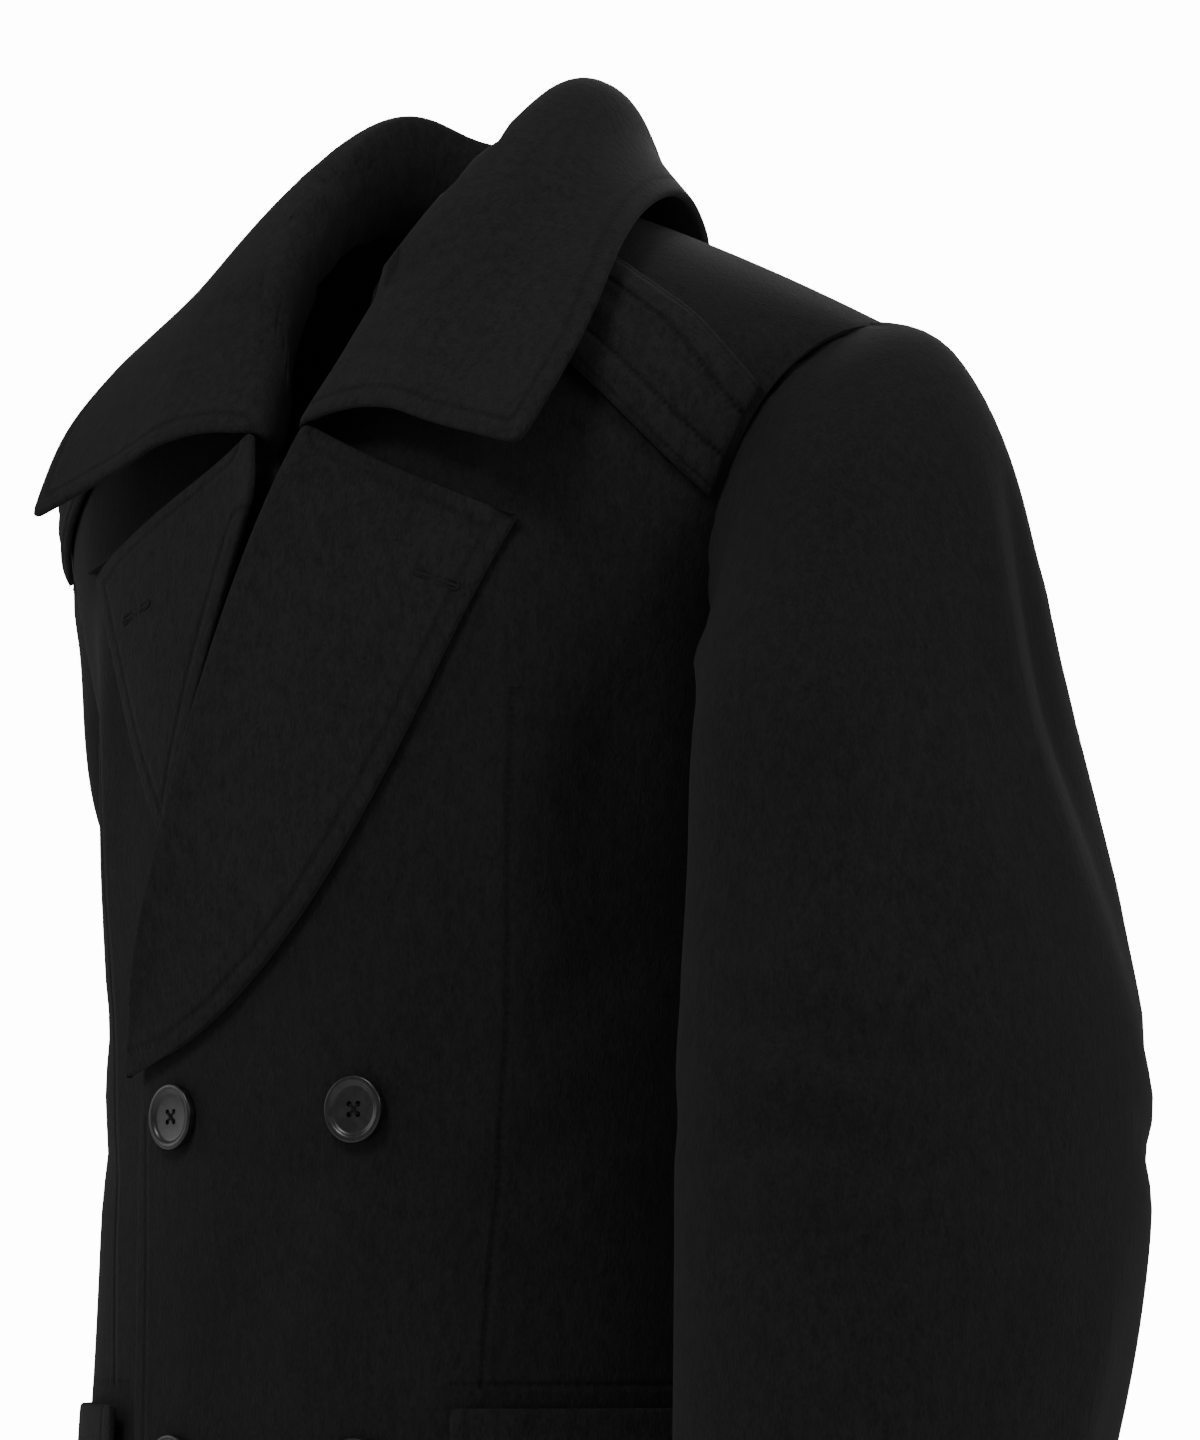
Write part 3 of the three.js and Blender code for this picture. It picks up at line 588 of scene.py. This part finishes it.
slit_model = whipped_slit()
for side, outer, inner in HOLE_PLACES:
    lapel = bpy.data.objects[f"lapel_{side}_cloth"]
    hits = []
    for x, z in (outer, inner):
        _, spot, normal, _ = lapel.ray_cast(Vector((x, -0.4, z)), Vector((0, 1, 0)))
        hits.append((spot, normal))
    along = (hits[0][0] - hits[1][0]).normalized()
    face = (hits[0][1] + hits[1][1]).normalized()
    aside = face.cross(along).normalized()
    turn = Matrix((along, aside, along.cross(aside))).transposed()
    middle = (hits[0][0] + hits[1][0]) / 2
    hole = copy_of(slit_model, f"buttonhole_{side}", turn, middle + face * HOLE_LIFT)
    dress(hole, thread_black)
bpy.data.objects.remove(slit_model)

# Collar: one leaf and its stand, two layers, folded over the roll line round the neck.
# The leaf is bagged out and edge-stitched like the lapels; the foot is sewn into the neck seam.
FOOT_REACH = 0.0065
FOOT_FADE = 0.012
NECK_MIDDLE = Vector((0, -0.012, 0))
NECK_HALF = 0.075
NECK_BACK = 0.08
LEAF_FRONT = -0.12
LEAF_PARTED = 0.03


def on_leaf(point):
    """Tells the leaf's sewn edges from the foot."""
    in_front = point.y < LEAF_FRONT and abs(point.x) > LEAF_PARTED
    return abs(point.x) > NECK_HALF or point.y > NECK_BACK or in_front


collar = cloth_on("collar", "collar_cloth", corner_crease=SOFT_CORNER)
mark_edge(collar, "edge_stitch", on_leaf)
GORGE_FRONT = -0.11
GORGE_FADE = 0.05
GORGE_DROP = 0.009
GORGE_IN = 0.002
for vertex in collar.data.vertices:
    if vertex.co.y < GORGE_FRONT:
        near = max(0.0, min(1.0, (NECK_HALF - abs(vertex.co.x)) / GORGE_FADE))
        vertex.co.z -= GORGE_DROP * near
        vertex.co.y += GORGE_IN * near
FOOT_FRONT = -0.08
STAND_FRONT = -0.09
STAND_TOP = 0.03
STAND_RADIUS = 0.09
FOOT_DROP = 0.8
foot_edges = [
    (a, b) for a, b in rims["collar_cloth"] if not on_leaf((a + b) / 2) and (a + b).y > 2 * FOOT_FRONT
]
for vertex in collar.data.vertices:
    if vertex.co.y < STAND_FRONT or vertex.co.z > STAND_TOP or vertex.co.xy.length > STAND_RADIUS:
        continue
    away = min((vertex.co - (a + b) / 2).length for a, b in foot_edges)
    reach = FOOT_REACH * max(0.0, 1 - away / FOOT_FADE)
    out = (vertex.co - NECK_MIDDLE) * Vector((1, 1, 0))
    vertex.co += out.normalized() * reach - Vector((0, 0, reach * FOOT_DROP))
finish_mesh(collar, melton_lapel)
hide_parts("collar")

# Sleeves: an upper and an under piece each, set into the armhole with a full head.
# The left hangs with its elbow a little back; the right is further back, behind the body.
# Each row of a sleeve's middle line is its height and its place across and deep
LEFT_LINE = (
    (-0.69, 0.276, -0.074),
    (-0.52, 0.276, -0.034),
    (-0.43, 0.275, -0.028),
    (-0.28, 0.263, -0.032),
    (0, 0.24, 0.01),
)
RIGHT_LINE = (
    (-0.69, -0.236, 0.136),
    (-0.52, -0.226, 0.147),
    (-0.43, -0.227, 0.138),
    (-0.28, -0.238, 0.074),
    (0, -0.24, 0.01),
)
SLEEVE_RADIUS = 0.095


def on_sleeve(line, side):
    """A sleeve's map is how far round it a point lies from its outer side, front first, and its height."""
    def spread(point):
        for low, high in zip(line, line[1:]):
            if point.z <= high[0]:
                break
        share = max(0.0, min(1.0, (point.z - low[0]) / (high[0] - low[0])))
        out = Vector((
            point.x - low[1] - (high[1] - low[1]) * share,
            point.y - low[2] - (high[2] - low[2]) * share,
            0,
        ))
        turn = math.atan2(-out.y, side * out.x)
        return Vector((turn * SLEEVE_RADIUS, point.z)), out.normalized()
    return spread


# Places round a sleeve are in metres from its outer side: 0.15 is its front, -0.15 its back
LEFT_CREASES = (
    ((0.075, -0.19), (0.090, -0.40), 0.020, 0.0046),
    ((0.010, -0.17), (-0.020, -0.37), 0.022, -0.0040),
    ((-0.050, -0.18), (-0.075, -0.39), 0.020, 0.0056),
    ((-0.105, -0.22), (-0.120, -0.40), 0.017, -0.0046),
    ((0.190, -0.405), (0.060, -0.445), 0.012, 0.0058),
    ((0.200, -0.455), (0.080, -0.475), 0.011, 0.0052),
    ((0.180, -0.425), (0.100, -0.455), 0.009, -0.0032),
    ((0.170, -0.505), (0.090, -0.520), 0.012, 0.0038),
    ((-0.060, -0.46), (-0.150, -0.49), 0.013, 0.0050),
    ((-0.080, -0.42), (-0.160, -0.445), 0.012, 0.0044),
    ((0.040, -0.50), (0.080, -0.67), 0.020, 0.0044),
    ((0.130, -0.56), (0.140, -0.68), 0.017, -0.0036),
    ((-0.030, -0.52), (-0.010, -0.67), 0.020, -0.0034),
    ((-0.110, -0.54), (-0.090, -0.68), 0.018, 0.0040),
)
RIGHT_CREASES = tuple(
    ((a[0] * 0.95 + 0.012, a[1] + 0.008), (b[0] * 0.95 - 0.006, b[1] - 0.010), w * 0.95, d * 0.9)
    for a, b, w, d in LEFT_CREASES
)
SLEEVES = (
    ("upper_sleeve_left", LEFT_CREASES, on_sleeve(LEFT_LINE, 1), (0.42, 0.66), 0.222),
    ("under_sleeve_left", LEFT_CREASES, on_sleeve(LEFT_LINE, 1), (0.20, 0.50), 0.084),
    ("upper_sleeve_right", RIGHT_CREASES, on_sleeve(RIGHT_LINE, -1), (0.36, 0.66), 0.168),
    ("under_sleeve_right", RIGHT_CREASES, on_sleeve(RIGHT_LINE, -1), (0.16, 0.50), 0.059),
)
# The head is drawn in and up to the armhole's seam
HEAD_PULL = 0.0095
HEAD_EDGE = 0.006
HEAD_FADE = 0.028
HEAD_FALLOFF = 1.5
HEAD_DEEP = 0.3
HEAD_RISE = 0.45
RISE_FROM = 0.16
RISE_OVER = 0.06
ARMHOLE_LOW = -0.27
ARMHOLE_OUT = 0.24
UNDER_LAP = 0.0030
LAP_FULL = 1.2
LAP_FADE = 0.010
CUFF_LEVEL = -0.686


def let_out(under, spread, side):
    """Lets an under sleeve's two long seams out round the sleeve, to meet the upper one."""
    mark_edge(under, "seam_reach", lambda p: CUFF_LEVEL < p.z < ARMHOLE_LOW)
    reach = [under.data.attributes["seam_reach"].data[v.index].vector.x for v in under.data.vertices]
    for vertex, away in zip(under.data.vertices, reach):
        out = spread(vertex.co)[1]
        round_sleeve = Vector((abs(out.y) * side, -out.x * side * math.copysign(1, out.y), 0))
        vertex.co += round_sleeve * UNDER_LAP * max(0.0, min(1.0, LAP_FULL - away / LAP_FADE))
    under.data.attributes.remove(under.data.attributes["seam_reach"])


for node, creases, spread, flat, area in SLEEVES:
    sleeve = cloth_on(node, f"{node}_cloth")
    if node.startswith("under"):
        let_out(sleeve, spread, 1 if node.endswith("left") else -1)
    seam = [
        (a + b) / 2 for a, b in rims[f"{node}_cloth"]
        if min(a.z, b.z) > ARMHOLE_LOW and abs(a.x + b.x) < 2 * ARMHOLE_OUT
    ]
    for vertex in sleeve.data.vertices:
        if seam and vertex.co.z > ARMHOLE_LOW - HEAD_FADE:
            away = min((vertex.co - spot).length for spot in seam)
            pull = HEAD_PULL * max(0.0, 1 - max(0.0, away - HEAD_EDGE) / HEAD_FADE) ** HEAD_FALLOFF
            rise = HEAD_RISE * max(0.0, min(1.0, (vertex.co.z + RISE_FROM) / RISE_OVER))
            vertex.co.x -= math.copysign(pull, vertex.co.x)
            vertex.co.y -= math.copysign(HEAD_DEEP * pull, vertex.co.y) * (1 - rise)
            vertex.co.z += rise * pull
    press(sleeve, creases, spread)
    finish_mesh(sleeve, melton_body)
    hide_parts(node)

# Shoulder straps: two layers quilted into ribs by lengthwise rows of stitching, caught under the
# collar and in the armhole seam.
STRAP_EDGE = {"Aside": 0.0035, "Line Width": 0.0011, "Length": 20.0, "Depth": 0.6, "Stitched": 0.2}
STRAP_ROW = {"Aside": 0.0165, "Line Width": 0.0016, "Length": 20.0, "Depth": 0.9, "Stitched": 0.2}
melton_strap = melton(
    "melton_strap", streak=0.7, depth=0.95, lifted=DOUBLE_LIFTED,
    seams=(("edge_stitch", STRAP_EDGE), ("edge_stitch", STRAP_ROW)),
)
for side in ("left", "right"):
    strap = cloth_on(f"shoulder_strap_{side}", f"shoulder_strap_{side}_cloth", edge_crease=0.2)
    mark_edge(strap, "edge_stitch", lambda p: True)
    finish_mesh(strap, melton_strap)
    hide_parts(f"shoulder_strap_{side}")

# Pocket flaps: two layers, turned and pressed, hanging from a level seam over each hip.
# They are edge-stitched on the three free sides.
FLAP_SEAM_Z = -0.58
for side in ("left", "right"):
    node = f"pocket_flap_{side}"
    flap = cloth_on(node, f"{node}_cloth", FINE_LEVELS, corner_crease=SOFT_CORNER)
    mark_edge(flap, "edge_stitch", lambda p: p.z < FLAP_SEAM_Z)
    finish_mesh(flap, melton_lapel)
    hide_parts(node)

# Buttons: discs turned from black horn-like resin, with a rounded rim, a sunk middle and four
# holes. Each is sewn on with black thread crossed through its holes.
BUTTON_RADIUS = 15 * MM
BUTTON_THICK = 4.2 * MM
RIM_WIDTH = 2.6 * MM
RIM_SLOPE = 1.4 * MM
WELL_DEPTH = 1.4 * MM
HOLE_RADIUS = 1.25 * MM
HOLE_AWAY = 3.3 * MM
RIM_ROUND = 0.9 * MM
THREAD_RADIUS = 0.2 * MM
THREAD_HALF = HOLE_AWAY * 1.12
THREAD_DIVE = 1.4 * MM
DIVE_FROM = 0.62
STRAND_STEP = 1.7 * THREAD_RADIUS
BAR_STEP = 1.6 * THREAD_RADIUS


def horn():
    """Black resin, polished on the wheel, with faint pale clouds and fine turning scratches."""
    resin = bpy.data.materials.new("horn_black")
    resin.use_nodes = True
    tree = resin.node_tree
    shader = tree.nodes["Principled BSDF"]
    where = tree.nodes.new("ShaderNodeTexCoord")
    cloud = tree.nodes.new("ShaderNodeTexNoise")
    cloud.inputs["Scale"].default_value = 160
    cloud.inputs["Detail"].default_value = 5
    cloud.inputs["Distortion"].default_value = 1.6
    link(tree, where.outputs["Object"], cloud.inputs["Vector"])
    shade = tree.nodes.new("ShaderNodeValToRGB")
    shade.color_ramp.elements[0].position = 0.35
    shade.color_ramp.elements[0].color = (0.0016, 0.0016, 0.0018, 1)
    shade.color_ramp.elements[1].position = 0.8
    shade.color_ramp.elements[1].color = (0.010, 0.0095, 0.0095, 1)
    link(tree, cloud.outputs["Fac"], shade.inputs["Fac"])
    link(tree, shade.outputs["Color"], shader.inputs["Base Color"])
    scratch = tree.nodes.new("ShaderNodeTexNoise")
    scratch.inputs["Scale"].default_value = 1400
    link(tree, where.outputs["Object"], scratch.inputs["Vector"])
    worn = tree.nodes.new("ShaderNodeMapRange")
    worn.inputs["To Min"].default_value = 0.24
    worn.inputs["To Max"].default_value = 0.42
    link(tree, scratch.outputs["Fac"], worn.inputs["Value"])
    link(tree, worn.outputs["Result"], shader.inputs["Roughness"])
    shader.inputs["Specular IOR Level"].default_value = 0.3
    return resin


def pick_faces(rule):
    """Selects the faces of the piece in edit mode that a rule picks."""
    bpy.ops.mesh.select_all(action="DESELECT")
    shape = bmesh.from_edit_mesh(bpy.context.object.data)
    for face in shape.faces:
        face.select_set(rule(face))
    bmesh.update_edit_mesh(bpy.context.object.data)


def turned_disc():
    """The button's disc, face up, its back in the middle of the scene."""
    bpy.ops.object.select_all(action="DESELECT")
    bpy.ops.mesh.primitive_cylinder_add(
        vertices=64, radius=BUTTON_RADIUS, depth=BUTTON_THICK, location=(0, 0, BUTTON_THICK / 2)
    )
    disc = bpy.context.object
    bpy.ops.object.transform_apply(location=True, rotation=False, scale=False)
    bpy.ops.object.mode_set(mode="EDIT")
    pick_faces(lambda face: face.normal.z > 0.9)
    bpy.ops.mesh.inset(thickness=RIM_WIDTH)
    bpy.ops.mesh.inset(thickness=RIM_SLOPE)
    bpy.ops.transform.translate(value=(0, 0, -WELL_DEPTH))
    bpy.ops.object.mode_set(mode="OBJECT")
    rounder = disc.modifiers.new("rounder", "BEVEL")
    rounder.width = RIM_ROUND
    rounder.segments = 4
    rounder.limit_method = "ANGLE"
    rounder.angle_limit = math.radians(20)
    bpy.ops.object.modifier_apply(modifier="rounder")
    for turn in range(4):
        angle = math.radians(45 + 90 * turn)
        spot = (HOLE_AWAY * math.cos(angle), HOLE_AWAY * math.sin(angle), BUTTON_THICK / 2)
        bpy.ops.object.select_all(action="DESELECT")
        bpy.ops.mesh.primitive_cylinder_add(vertices=24, radius=HOLE_RADIUS, depth=0.02, location=spot)
        drill = bpy.context.object
        cut = disc.modifiers.new("cut", "BOOLEAN")
        cut.operation = "DIFFERENCE"
        cut.object = drill
        drill.select_set(False)
        bpy.context.view_layer.objects.active = disc
        bpy.ops.object.modifier_apply(modifier="cut")
        bpy.data.objects.remove(drill)
    disc.select_set(True)
    bpy.ops.object.shade_smooth_by_angle(angle=math.radians(28))
    return disc


def crossed_thread():
    """Two bars of three strands each, over the well from hole to hole."""
    strands = []
    for turn in range(2):
        for strand in (-1, 0, 1):
            bpy.ops.object.select_all(action="DESELECT")
            bpy.ops.mesh.primitive_cylinder_add(
                vertices=10, radius=THREAD_RADIUS, depth=2 * THREAD_HALF,
                location=(0, 0, 0), rotation=(0, math.pi / 2, 0),
            )
            thread = bpy.context.object
            bpy.ops.object.transform_apply(location=True, rotation=True, scale=False)
            bpy.ops.object.mode_set(mode="EDIT")
            bpy.ops.mesh.select_all(action="SELECT")
            bpy.ops.mesh.subdivide(number_cuts=6)
            bpy.ops.object.mode_set(mode="OBJECT")
            angle = math.radians(45 + 90 * turn)
            aside = strand * STRAND_STEP
            rise = BUTTON_THICK - WELL_DEPTH + THREAD_RADIUS + BAR_STEP * turn
            for vertex in thread.data.vertices:
                share = vertex.co.x / THREAD_HALF
                x, y = vertex.co.x, vertex.co.y + aside
                vertex.co.z += rise - THREAD_DIVE * max(0.0, abs(share) - DIVE_FROM) / (1 - DIVE_FROM)
                vertex.co.x = x * math.cos(angle) - y * math.sin(angle)
                vertex.co.y = x * math.sin(angle) + y * math.cos(angle)
            strands.append(thread)
    bpy.ops.object.select_all(action="DESELECT")
    for thread in strands:
        thread.select_set(True)
    bpy.context.view_layer.objects.active = strands[0]
    bpy.ops.object.join()
    return strands[0]


horn_black = horn()
disc_model = turned_disc()
thread_model = crossed_thread()
for number in (1, 2, 3, 4):
    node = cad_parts[f"button_{number}"]
    facing = Vector((0, 0, 0))
    for face in node.data.polygons:
        if face.normal.y < -0.9:
            facing += face.normal * face.area
    facing.normalize()
    turn = facing.to_track_quat("Z", "Y")
    middle = sum((vertex.co for vertex in node.data.vertices), Vector()) / len(node.data.vertices)
    depths = [vertex.co.dot(facing) for vertex in node.data.vertices]
    seat = middle + facing * (min(depths) - middle.dot(facing))
    disc = copy_of(disc_model, f"button_{number}_disc", turn, seat)
    thread = copy_of(thread_model, f"button_{number}_thread", turn, seat)
    dress(disc, horn_black)
    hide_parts(f"button_{number}")
    dress(thread, thread_black)
bpy.data.objects.remove(disc_model)
bpy.data.objects.remove(thread_model)
